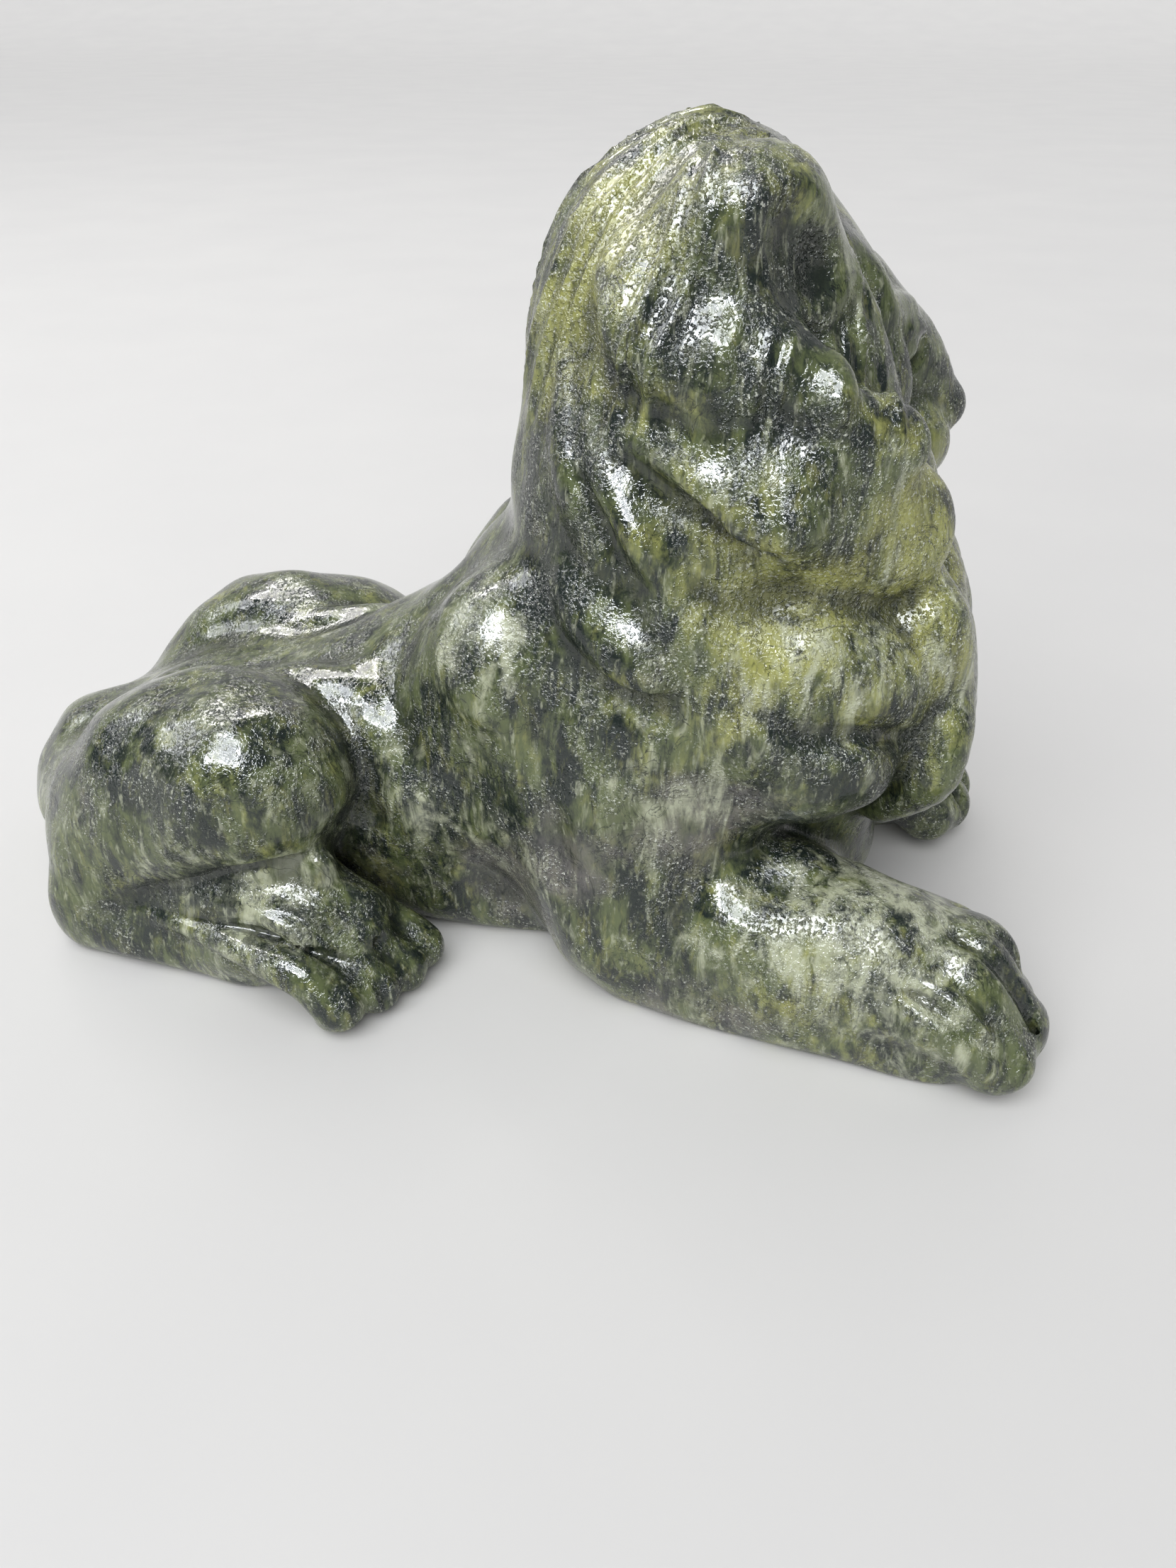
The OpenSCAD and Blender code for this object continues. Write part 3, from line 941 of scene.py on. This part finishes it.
def make_panel(name, toward, sides, watts, colour):
    """A light seen only as highlights: a panel facing the lion, brighter along its rim."""
    back = Vector(toward).normalized()
    turned = back.to_track_quat("Z", "Y")
    middle = Vector((CAD_LOW + CAD_HIGH) / 2) + back * PANEL_AWAY * MM
    wide, tall = sides
    make_lamp(name, middle, turned, sides, watts * (1 - RIM_SHARE), colour)
    strips = [((wide / 2, 0), (RIM_WIDTH, tall)), ((-wide / 2, 0), (RIM_WIDTH, tall)),
              ((0, tall / 2), (wide, RIM_WIDTH)), ((0, -tall / 2), (wide, RIM_WIDTH))]
    for k, ((right, up), strip) in enumerate(strips):
        place = middle + turned @ Vector((right * MM, up * MM, 0))
        power = watts * RIM_SHARE * max(strip) / (2 * (wide + tall))
        make_lamp(f"{name}_rim_{k}", place, turned, strip, power, colour)


def make_lamp(name, place, turned, sides, watts, colour):
    """One rectangle of light that adds highlights and no diffuse light."""
    lamp = bpy.data.lights.new(name, "AREA")
    lamp.shape = "RECTANGLE"
    lamp.size, lamp.size_y = (side * MM for side in sides)
    lamp.energy = watts
    lamp.color = colour
    made = bpy.data.objects.new(name, lamp)
    made.location = place
    made.rotation_euler = turned.to_euler()
    made.visible_diffuse = False
    bpy.context.collection.objects.link(made)


def make_fill():
    """Even light from above and in front, kept out of the stone's reflections."""
    lamp = bpy.data.lights.new("fill", "SUN")
    lamp.energy = FILL_LIGHT
    lamp.angle = np.radians(FILL_ANGLE)
    made = bpy.data.objects.new("fill", lamp)
    made.rotation_euler = np.radians(FILL_TURN)
    made.visible_glossy = False
    bpy.context.collection.objects.link(made)


def make_camera():
    """The camera where the photograph's stood."""
    lens = bpy.data.cameras.new("camera")
    lens.lens = LENS
    lens.sensor_width = SENSOR
    made = bpy.data.objects.new("camera", lens)
    made.location = Vector(EYE) * MM
    made.rotation_euler = np.radians(EYE_TILT)
    bpy.context.collection.objects.link(made)
    bpy.context.scene.camera = made


def make_world():
    """A faint, even glow from all round."""
    world = bpy.data.worlds.new("studio_air")
    world.use_nodes = True
    air = world.node_tree.nodes["Background"]
    air.inputs["Color"].default_value = WORLD_COLOUR
    air.inputs["Strength"].default_value = WORLD_LIGHT
    bpy.context.scene.world = world


jade_lion = make_lion()
jade_lion.data.materials.append(jade())
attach(jade_lion, "root")
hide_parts(NODE)
make_floor()
for name, facts in PANELS.items():
    make_panel(name, *facts)
make_fill()
make_camera()
make_world()
bpy.context.scene.view_settings.view_transform = "Standard"
